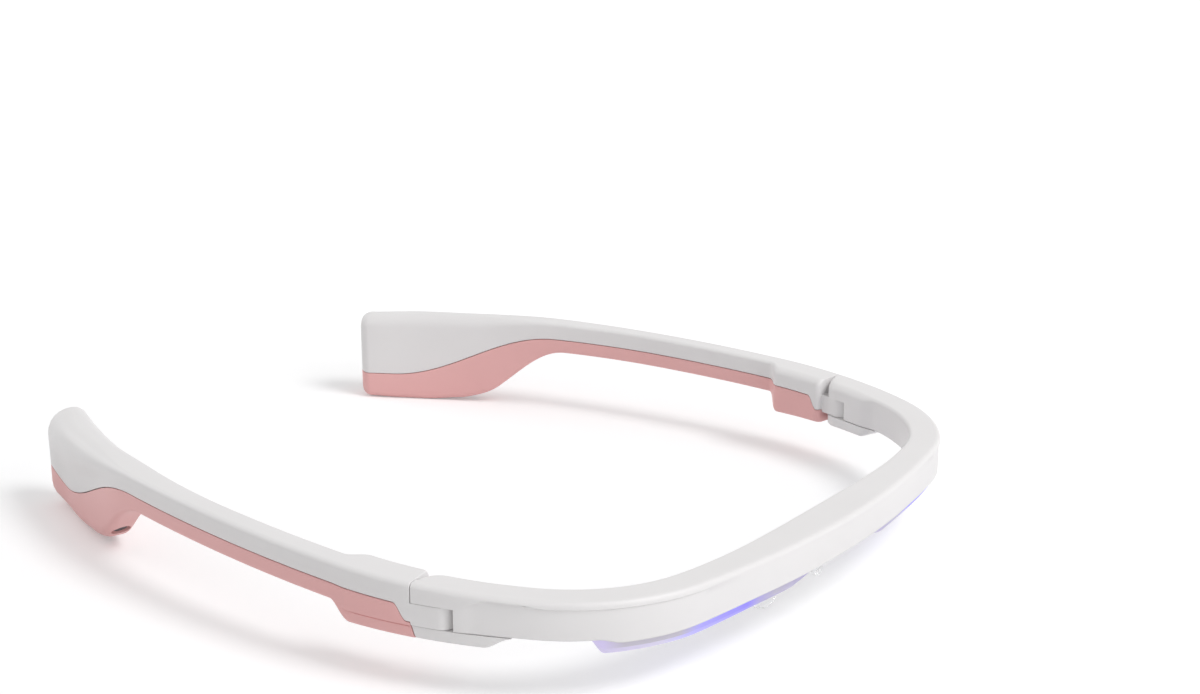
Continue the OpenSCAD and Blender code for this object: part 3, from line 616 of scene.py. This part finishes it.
# ---------------------------------------------------------------- Temple bases
# The pink lower half of each temple, a channel moulded in soft-touch plastic. In the slope of
# the paddle it has a round recess for the button or the charging socket, then one for a screw.
pink_plastic = moulded_plastic("pink_plastic", (0.82, 0.455, 0.445), (0.785, 0.43, 0.42), 0.46,
                               grain=0.16)
crease_low = 0.4
crease_floor = 0.44
crease_high = 0.48
crease_out, crease_in = 0.14, 0.32
crease_bottom, crease_top = -7.3, -7.05
boss_high = -7.05
base_wall = 1.15
base_floor = 1.2
base_edge_r = 0.8
foot_r, foot_inner_r, foot_tip_extra_r = 3.8, 1.3, 1.4
lean_reach = 0.8
port_r, port_depth = 2.1, 0.9
screw_hole = (1.4, 2.2)


def seam_lean(s, across, up, reach):
    """The joint between boss and base leans forward on the outside, towards its foot."""
    return (lean_reach * min(max(boss_high - up, 0) / 2.5, 1)
            * (1 - ease(abs(s - seam_s), 0.3, reach)) * (1 - ease(across, 0.25, wall_in)))


def base_section(s, across, upright):
    outer, inner = temple_sides(s)
    outer += hollow(s)
    low = temple_low(s)
    wide = inner - outer
    outer_r = min(blend(base_edge_r, foot_r, paddle_share(s))
                  + foot_tip_extra_r * ease(s, end_s - 14, end_s - 3), 0.62 * wide)
    inner_r = min(blend(base_edge_r, foot_inner_r, paddle_share(s)), 0.3 * wide)
    wall = min(base_wall, wide / 2 - 0.3)
    if 0.6 < upright < 0.8 and wall_in - 0.01 < across < wall_out + 0.01:
        share = (across - wall_in) / (wall_out - wall_in)
        return (blend(outer + wall + 0.4 * (outer_r - base_edge_r), inner - wall, share),
                low + base_floor)
    if upright > 0.7:
        inward = between(across, (0, outer), (0.25, outer + parting_round),
                         (wall_in, outer + wall), (wall_out, inner - wall),
                         (0.75, inner - parting_round), (1, inner))
        edge = parting_round * (1 - max(upright, 0.75)) / 0.25
        return inward, parting(s, inward) - parting_gap - edge
    inward = between(across, (0, outer), (0.25, outer + outer_r), (0.75, inner - inner_r),
                     (1, inner))
    sides = []
    for side, corner_r in ((outer, outer_r), (inner, inner_r)):
        high = parting(s, side) - parting_gap - parting_round
        start = low + corner_r
        upper = min(blend(blend(start, high, 0.6), crease_top, block_share(s)), high - 0.05)
        lower = min(blend(blend(start, high, 0.4), crease_bottom, block_share(s)), upper - 0.1)
        sides.append(between(upright, (0, low), (0.25, start), (crease_low, lower),
                             (crease_floor, upper - 0.12), (crease_high, upper), (0.75, high)))
    up = blend(sides[0], sides[1], between(across, (0, 0), (0.25, 0), (0.75, 1), (1, 1)))
    if across < 0.1 and upright < crease_floor + 0.01:
        sunk = crease_in if upright > crease_low + 0.01 else crease_out
        inward += sunk * block_share(s) * (1 - ease(s, block_s - 8, block_s - 1))
    return inward, up


def along_line(s):
    return (place(s + 0.01, 0, 0) - place(s - 0.01, 0, 0)).normalized()


down = Vector((0, 0, -1))
slope = math.atan((temple_low(port_s - 1) - temple_low(port_s + 1)) / 2)
port_out = -math.sin(slope) * along_line(port_s) + math.cos(slope) * down
port_in = (sum(temple_sides(port_s)) + hollow(port_s)) / 2 + 0.3
port_mouth = place(port_s, port_in, temple_low(port_s))
screw_mouth = place(screw_s, (sum(temple_sides(screw_s)) + hollow(screw_s)) / 2,
                    temple_low(screw_s))


def drilled(bm, holes):
    """Cuts round holes, each given by its mouth, the way out of it, its radius and its depth."""
    blank = as_object("blank", bm)
    drills = []
    for mouth, out, radius, depth in holes:
        bm = bmesh.new()
        bmesh.ops.create_cone(bm, cap_ends=True, segments=64, radius1=radius / 1000,
                              radius2=radius / 1000, depth=(depth + 3) / 1000)
        turn = out.to_track_quat('Z', 'Y').to_matrix().to_4x4()
        middle = mouth + out * (3 - depth) / 2000
        bmesh.ops.transform(bm, matrix=Matrix.Translation(middle) @ turn, verts=bm.verts)
        drills.append(as_object("drill", bm))
        cut = blank.modifiers.new("hole", 'BOOLEAN')
        cut.solver = 'EXACT'
        cut.object = drills[-1]
    bm = bmesh.new()
    bm.from_object(blank, bpy.context.evaluated_depsgraph_get())
    for thing in (blank, *drills):
        bpy.data.objects.remove(thing)
    return bm


for side, mirrored, bore in (("left", False, (2.0, 8)), ("right", True, (1.75, 5))):
    bm = straight_bar(temple_rows, across=(wall_in, wall_out),
                      upright=(crease_low, crease_floor, crease_high))
    hollowed(bm, 1, -0.3)
    for v in bm.verts:
        inward, up = base_section(*v.co)
        v.co = place(v.co.x - seam_lean(v.co.x, v.co.y, up, 4), inward, up)
    bmesh.ops.recalc_face_normals(bm, faces=bm.faces)
    bm = drilled(bm, [(port_mouth, port_out, port_r, port_depth), (port_mouth, port_out, *bore),
                      (screw_mouth, down, *screw_hole)])
    finish_piece(side + "_base", bm, pink_plastic, side + "_temple",
                 [side + "_temple_base"], flip=mirrored)

# ---------------------------------------------------------------- Under cover
# The strip that closes the bar from below, moulded in one with a round-cornered boss under each
# ear. The bosses carry the lower end of the hinge pins and the two screws that hold the strip.
plate_end = bar_solid_s - 0.2
plate_low, plate_high = -6.95, -5.85
plate_inset, inset_at_window = 1.35, 4.25
boss_low = -9.6
boss_drop = 2.5
boss_side, boss_shoulder, boss_edge_r = 0.25, -7.12, 0.9
pin_counterbore = (1.65, 0.95)
screw_counterbore = (1.25, 0.95)


def plate_section(s, across, upright):
    beside = ease(s, 8.4, 9.4) * (1 - ease(s, window_end + 0.6, window_end + 1.6))
    low = plate_low - 0.2 * ease(s, seam_s - 18.5, seam_s - 17)
    return (blend(blend(plate_inset, inset_at_window, beside), bar_width(s) - plate_inset, across),
            blend(low, plate_high, upright))


def boss_section(s, across, upright):
    width = bar_width(s)
    low = boss_low + boss_drop * (1 - ease(s, seam_s - 19.5, seam_s - 13.5))
    radius = min(boss_edge_r, 0.8 * (boss_shoulder - low))
    inward = between(across, (0, boss_side), (0.25, boss_side + radius), (0.75, width - radius),
                     (1, width))
    if upright > 0.6:
        inward = blend(boss_side, width, across)
    return inward, between(upright, (0, low), (0.25, low + radius), (0.75, boss_shoulder),
                           (1, boss_high))


bm = straight_bar(stations(0, 2, corner_s, 1.2, window_end + 2, 1.2, plate_end), steps=2)
bend(bm, plate_section)
boss = straight_bar(stations(seam_s - 19, 0.5, seam_s - 13, 0.8, pin_s) + knuckle_rows
                    + [seam_s], steps=5)
for v in boss.verts:
    inward, up = boss_section(*v.co)
    v.co = place(v.co.x - seam_lean(v.co.x, v.co.y, up, 5), inward, up)
bmesh.ops.recalc_face_normals(boss, faces=boss.faces)
boss_middle = (barrel_r + knuckle_r) / 2
boss = drilled(boss, [(place(pin_s, barrel_r, boss_low), down, *pin_counterbore),
                      (place(seam_s - 11, boss_middle, boss_low), down, *screw_counterbore)])
boss_mesh = bpy.data.meshes.new("boss")
boss.to_mesh(boss_mesh)
boss.free()
bm.from_mesh(boss_mesh)
whole(bm)
finish_piece("under_cover", bm, white_plastic, "front", ["front_base"])

# ---------------------------------------------------------------- Light windows
# Two crescents of frosted light guide hang under the bar above the eyes, lit from inside by
# small lamps: deep blue-violet where the lamps are, fading to pale lilac at the ends.
bar_under = -7.15
window_top = -5.55
window_front = 2.0
glow_reach = 70


def glowing_plastic(name, stops, strength, roughness):
    """Glowing plastic: each stop is a distance from the middle, a body and a glow."""
    material = bpy.data.materials.new(name)
    material.use_nodes = True
    tree = material.node_tree
    body = tree.nodes["Principled BSDF"]
    spot = tree.nodes.new("ShaderNodeTexCoord")
    parts = tree.nodes.new("ShaderNodeSeparateXYZ")
    aside = tree.nodes.new("ShaderNodeMath")
    aside.operation = 'ABSOLUTE'
    reach = tree.nodes.new("ShaderNodeMapRange")
    socket(reach, "From Min", 0)
    socket(reach, "From Max", glow_reach / 1000)
    tree.links.new(spot.outputs["Object"], parts.inputs["Vector"])
    tree.links.new(parts.outputs["X"], aside.inputs[0])
    tree.links.new(aside.outputs[0], reach.inputs["Value"])
    for output, which in (("Base Color", 1), ("Emission Color", 2)):
        ramp = tree.nodes.new("ShaderNodeValToRGB")
        for i, stop in enumerate(stops):
            elements = ramp.color_ramp.elements
            mark = elements[i] if i < 2 else elements.new(1)
            mark.position = stop[0] / glow_reach
            mark.color = (*stop[which], 1)
        tree.links.new(reach.outputs["Result"], ramp.inputs["Fac"])
        tree.links.new(ramp.outputs["Color"], body.inputs[output])
    mist = tree.nodes.new("ShaderNodeTexNoise")
    socket(mist, "Scale", 300)
    socket(mist, "Detail", 3)
    power = tree.nodes.new("ShaderNodeMapRange")
    socket(power, "To Min", strength - 0.06)
    socket(power, "To Max", strength + 0.06)
    tree.links.new(spot.outputs["Object"], mist.inputs["Vector"])
    tree.links.new(mist.outputs["Fac"], power.inputs["Value"])
    tree.links.new(power.outputs["Result"], body.inputs["Emission Strength"])
    socket(body, "Roughness", roughness)
    return material


glow = glowing_plastic("lit_light_guide", (
    (20, (0.40, 0.38, 0.45), (0.19, 0.17, 0.27)), (27, (0.24, 0.22, 0.34), (0.26, 0.24, 0.42)),
    (32, (0.06, 0.055, 0.18), (0.36, 0.32, 0.92)), (45, (0.08, 0.075, 0.20), (0.50, 0.47, 0.95)),
    (52, (0.32, 0.30, 0.36), (0.46, 0.44, 0.58)), (61, (0.34, 0.32, 0.38), (0.40, 0.36, 0.54))),
    0.86, 0.4)


def crescent(s):
    """How far a window hangs below the bar."""
    return (blend(2.8, 3.5, ease(s, corner_s - 19, corner_s + 5)) * ease(s, 7, 19)
            * (1 - ease(s, window_end - 2.6, window_end + 1.2)))


def window_section(s, across, upright):
    low = bar_under - crescent(s)
    return (window_front + between(across, (0, 0), (0.25, 0.5), (0.75, 1.7), (1, 2.2)),
            between(upright, (0, low), (0.25, low + 0.5), (0.75, plate_high), (1, window_top)))


window_rows = stations(10, 1.3, corner_s, 0.9, window_end - 4, 0.4, window_end)
for side, mirrored in (("left", False), ("right", True)):
    bm = straight_bar(window_rows, steps=5)
    bend(bm, window_section)
    finish_piece(side + "_window", bm, glow, "front", ["light_window_" + side],
                 flip=mirrored)

# ---------------------------------------------------------------- Window bezels
# A thin grey-violet rim moulded in translucent plastic. It lies in front of each window, held
# between the window and the bar, and hides the window's upper part and the lamps.
bezel_front, bezel_thick = 1.35, 0.6
bezel_hang = 0.65
# Its blue-violet glow in the middle is the light of the lamps behind it; the faint glow towards
# both ends is painted light that brightens their shaded grey and lilac.
bezel_lamp_and_painted_glow = glowing_plastic("bezel_lamp_and_painted_glow", (
    (12, (0.38, 0.35, 0.48), (0.12, 0.10, 0.24)), (24, (0.48, 0.46, 0.54), (0.08, 0.07, 0.12)),
    (29, (0.28, 0.25, 0.38), (0.20, 0.18, 0.44)), (32, (0.05, 0.045, 0.18), (0.28, 0.24, 0.88)),
    (44, (0.10, 0.09, 0.22), (0.36, 0.33, 0.86)), (49, (0.52, 0.50, 0.56), (0.08, 0.07, 0.10)),
    (59, (0.52, 0.50, 0.56), (0.10, 0.09, 0.12)), (62, (0.40, 0.36, 0.48), (0.32, 0.28, 0.46))),
    0.9, 0.4)


def bezel_section(s, across, upright):
    low = bar_under - bezel_hang * crescent(s)
    return (bezel_front + bezel_thick * across,
            between(upright, (0, low), (0.25, low + 0.15), (0.75, -5.7), (1, window_top)))


for side, mirrored in (("left", False), ("right", True)):
    bm = straight_bar(window_rows, steps=3)
    bend(bm, bezel_section)
    finish_piece(side + "_bezel", bm, bezel_lamp_and_painted_glow, "front", ["window_bezel_" + side],
                 flip=mirrored)

# ---------------------------------------------------------------- Nose rest
# A bridge moulded in clear plastic, held by two pegs in the under cover. Two thin bent arms,
# moulded in one with it, end in the nose pads.
def clear_moulding(name, colour, clearness, alpha, ior, scale, detail, smooth, rough):
    """Clear moulding whose flow marks show as a faint change in gloss."""
    material = bpy.data.materials.new(name)
    material.use_nodes = True
    tree = material.node_tree
    body = tree.nodes["Principled BSDF"]
    socket(body, "Base Color", (*colour, 1))
    socket(body, "Transmission Weight", clearness)
    socket(body, "Alpha", alpha)
    socket(body, "IOR", ior)
    spot = tree.nodes.new("ShaderNodeTexCoord")
    marks = tree.nodes.new("ShaderNodeTexNoise")
    socket(marks, "Scale", scale)
    socket(marks, "Detail", detail)
    gloss = tree.nodes.new("ShaderNodeMapRange")
    socket(gloss, "To Min", smooth)
    socket(gloss, "To Max", rough)
    tree.links.new(spot.outputs["Object"], marks.inputs["Vector"])
    tree.links.new(marks.outputs["Fac"], gloss.inputs["Value"])
    tree.links.new(gloss.outputs["Result"], body.inputs["Roughness"])
    return material


clear_plastic = clear_moulding("clear_plastic", (0.93, 0.95, 0.96), clearness=0.92, alpha=0.4,
                               ior=1.49, scale=700, detail=2, smooth=0.06, rough=0.16)
pad_x, pad_in = 9.5, 14.5
pad_lean, pad_splay = math.radians(14), math.radians(24)
pad_dome, pad_half, pad_tall = 1.6, 3.6, 6.2
pad_z = -foot_depth - 0.4 + pad_tall * math.cos(pad_lean) + 0.4 * math.sin(pad_lean)
bridge_in, bridge_up = 5.35, -7.85
peg_r, peg_h, peg_x = 0.7, 1.15, 3.5
arm_r = 0.75
arm_steps = 28


def from_front(x, inward, up):
    return Vector((x / 1000, inward / 1000 + cad_box[0][1], (up + foot_depth) / 1000))


bm = bmesh.new()
bmesh.ops.create_cube(bm, size=1,
                      matrix=Matrix.Translation(from_front(0, bridge_in, bridge_up))
                      @ Matrix.Diagonal((0.013, 0.0033, 0.0018, 1)))
bmesh.ops.bevel(bm, geom=bm.edges[:], offset=0.0005, segments=3, profile=0.5, affect='EDGES',
                material=-1)
for side in (1, -1):
    peg_middle = Matrix.Translation(from_front(side * peg_x, 5.2, -6.42))
    bmesh.ops.create_cone(bm, cap_ends=True, segments=32, radius1=peg_r / 1000,
                          radius2=peg_r / 1000, depth=peg_h / 1000, matrix=peg_middle)
    root = Vector((side * 5, bridge_in, bridge_up))
    tip = Vector((side * 9.8, 14.1, pad_z + 0.6))
    handles = (root, root + Vector((side * 6.5, -0.3, 0.1)),
               tip + Vector((side * 4.6, -3.4, 2.4)), tip)
    line = []
    for i in range(arm_steps + 1):
        u = i / arm_steps
        shares = (1 - u) ** 3, 3 * u * (1 - u) ** 2, 3 * u * u * (1 - u), u ** 3
        line.append(sum((point * share for point, share in zip(handles, shares)), Vector()))
    last_ring = None
    for i, point in enumerate(line):
        way = (line[min(i + 1, arm_steps)] - line[max(i - 1, 0)]).normalized()
        turn = way.to_track_quat('Z', 'Y').to_matrix().to_4x4()
        made = bmesh.ops.create_circle(bm, cap_ends=False, segments=20, radius=arm_r / 1000,
                                       matrix=Matrix.Translation(from_front(*point)) @ turn)
        ring = list(dict.fromkeys(e for v in made["verts"] for e in v.link_edges))
        if last_ring:
            bmesh.ops.bridge_loops(bm, edges=last_ring + ring)
        if i in (0, arm_steps):
            bmesh.ops.contextual_create(bm, geom=ring)
        last_ring = ring
finish_piece("nose_bridge_clear", bm, clear_plastic, "front", ["nose_bridge"])

# ---------------------------------------------------------------- Nose pads
# Soft buttons of clear silicone, domed towards the nose. Each is pushed on the end of its arm,
# which a thick collar grips.
silicone = clear_moulding("clear_silicone", (0.93, 0.94, 0.95), clearness=0.9, alpha=0.35,
                          ior=1.41, scale=420, detail=3, smooth=0.08, rough=0.2)
collar_spot = Vector((-1.2, 0, 0.6))
pad_foot = 0.00002

for side, mirrored in (("left", False), ("right", True)):
    bm = bmesh.new()
    bmesh.ops.create_uvsphere(bm, u_segments=40, v_segments=24, radius=1)
    for v in bm.verts:
        v.co = Vector((v.co.x * pad_dome, v.co.y * pad_half, v.co.z * pad_tall))
        if v.co.x < 0:
            v.co.x *= 0.75
    collar = [f for f in bm.faces if f.normal.x < -0.3
              and (f.calc_center_median() - collar_spot).length < 1.15]
    for offset, size in ((0.35, 0.86), (0.25, 0.8)):
        collar = pull(bm, collar, (-offset, 0, 0))
        verts = list(dict.fromkeys(v for f in collar for v in f.verts))
        centre = sum((v.co for v in verts), Vector()) / len(verts)
        bmesh.ops.scale(bm, verts=verts, vec=(1, size, size), space=Matrix.Translation(-centre))
    turn = Matrix.Rotation(-pad_splay, 4, 'Z') @ Matrix.Rotation(-pad_lean, 4, 'Y')
    for v in bm.verts:
        point = turn @ v.co
        v.co = from_front(pad_x + point.x, pad_in + point.y, pad_z + point.z)
    foot = bmesh.ops.bisect_plane(bm, geom=bm.verts[:] + bm.edges[:] + bm.faces[:],
                                  plane_co=(0, 0, pad_foot), plane_no=(0, 0, -1),
                                  clear_outer=True)
    rim = [g for g in foot["geom_cut"] if isinstance(g, bmesh.types.BMEdge)]
    bmesh.ops.contextual_create(bm, geom=rim)
    finish_piece(side + "_nose_pad", bm, silicone, "front", ["nose_pad_" + side],
                 crease=60, flip=mirrored)

# ---------------------------------------------------------------- Button and charging socket
# Two round mouldings in dark plastic. The button is a cap with a shallow dish and a flange that
# keeps it in the base, and the socket a plain sleeve pressed in from outside, open at its mouth.
dark_plastic = moulded_plastic("dark_plastic", (0.035, 0.026, 0.03), (0.045, 0.034, 0.039),
                               0.45)


def turned(profile):
    """Spins a profile of radius and height about the axis of the recess, in millimetres."""
    bm = bmesh.new()
    verts = [bm.verts.new((radius / 1000, 0, height / 1000)) for radius, height in profile]
    edges = [bm.edges.new(pair) for pair in zip(verts, verts[1:])]
    bmesh.ops.spin(bm, geom=verts + edges, cent=(0, 0, 0), axis=(0, 0, 1), angle=2 * math.pi,
                   steps=48, use_merge=True)
    turn = port_out.to_track_quat('Z', 'Y').to_matrix().to_4x4()
    bmesh.ops.transform(bm, matrix=Matrix.Translation(port_mouth) @ turn, verts=bm.verts)
    bmesh.ops.remove_doubles(bm, verts=bm.verts, dist=2e-6)
    return bm


cap = turned(((0, -3.0), (1.6, -3.0), (1.6, -2.55), (2.0, -2.55), (2.0, -1.95), (1.6, -1.95),
              (1.6, -0.62), (1.54, -0.48), (1.4, -0.4), (1.15, -0.43), (0.6, -0.56), (0, -0.6)))
finish_piece("button_cap", cap, dark_plastic, "power_button", ["power_button"],
             flip=True)
sleeve = turned(((0, -7.5), (2.0, -7.5), (2.0, -1.0), (1.9, -0.9), (1.45, -0.9), (1.3, -1.0),
                 (1.3, -6.9), (0, -6.9)))
finish_piece("socket_sleeve", sleeve, dark_plastic, "left_temple",
             ["charge_socket"])

# ---------------------------------------------------------------- Pins, screws and electronics
# Inner pieces keep their plain machined or stamped shapes: turned steel pins and screws, boards
# under solder mask, lamps under yellow phosphor, amber film circuits and foil-wrapped cells.
def bare_metal(name, colour, roughness, scale, stretch):
    """Metal with fine tool or rolling marks along one direction."""
    material = bpy.data.materials.new(name)
    material.use_nodes = True
    tree = material.node_tree
    body = tree.nodes["Principled BSDF"]
    spot = tree.nodes.new("ShaderNodeTexCoord")
    drawn = tree.nodes.new("ShaderNodeMapping")
    socket(drawn, "Scale", stretch)
    marks = tree.nodes.new("ShaderNodeTexNoise")
    socket(marks, "Scale", scale)
    gloss = tree.nodes.new("ShaderNodeMapRange")
    socket(gloss, "To Min", roughness - 0.08)
    socket(gloss, "To Max", roughness + 0.08)
    relief = tree.nodes.new("ShaderNodeBump")
    socket(relief, "Strength", 0.15)
    socket(relief, "Distance", 0.00003)
    tree.links.new(spot.outputs["Object"], drawn.inputs["Vector"])
    tree.links.new(drawn.outputs["Vector"], marks.inputs["Vector"])
    tree.links.new(marks.outputs["Fac"], gloss.inputs["Value"])
    tree.links.new(gloss.outputs["Result"], body.inputs["Roughness"])
    tree.links.new(marks.outputs["Fac"], relief.inputs["Height"])
    tree.links.new(relief.outputs["Normal"], body.inputs["Normal"])
    socket(body, "Base Color", (*colour, 1))
    socket(body, "Metallic", 1)
    return material


steel = bare_metal("turned_steel", (0.50, 0.51, 0.53), 0.3, 900, (1, 1, 6))
foil = bare_metal("cell_foil", (0.60, 0.61, 0.63), 0.42, 500, (1, 1, 1))
stamped = bare_metal("switch_case", (0.45, 0.46, 0.48), 0.36, 800, (4, 1, 1))
solder_mask = moulded_plastic("solder_mask", (0.012, 0.10, 0.05), (0.02, 0.13, 0.065), 0.3,
                              sheen=0.5)
film = moulded_plastic("amber_film", (0.52, 0.20, 0.03), (0.46, 0.17, 0.025), 0.3, sheen=0.3)
phosphor = moulded_plastic("lamp_phosphor", (0.85, 0.78, 0.25), (0.80, 0.70, 0.2), 0.35)
finishes = {
    steel: ("hinge_pin_right", "hinge_pin_left", "base_screws", "right_tip_screw",
            "left_tip_screw"),
    foil: ("right_battery", "left_battery"),
    stamped: ("power_switch",),
    solder_mask: ("led_board_right", "led_board_left", "control_board", "charge_board"),
    film: ("front_flex", "right_temple_flex", "left_temple_flex"),
    phosphor: ("leds_right", "leds_left"),
}
for finish, carried in finishes.items():
    for name in carried:
        for holder in nodes[name].material_slots:
            holder.link = 'OBJECT'
            holder.material = finish
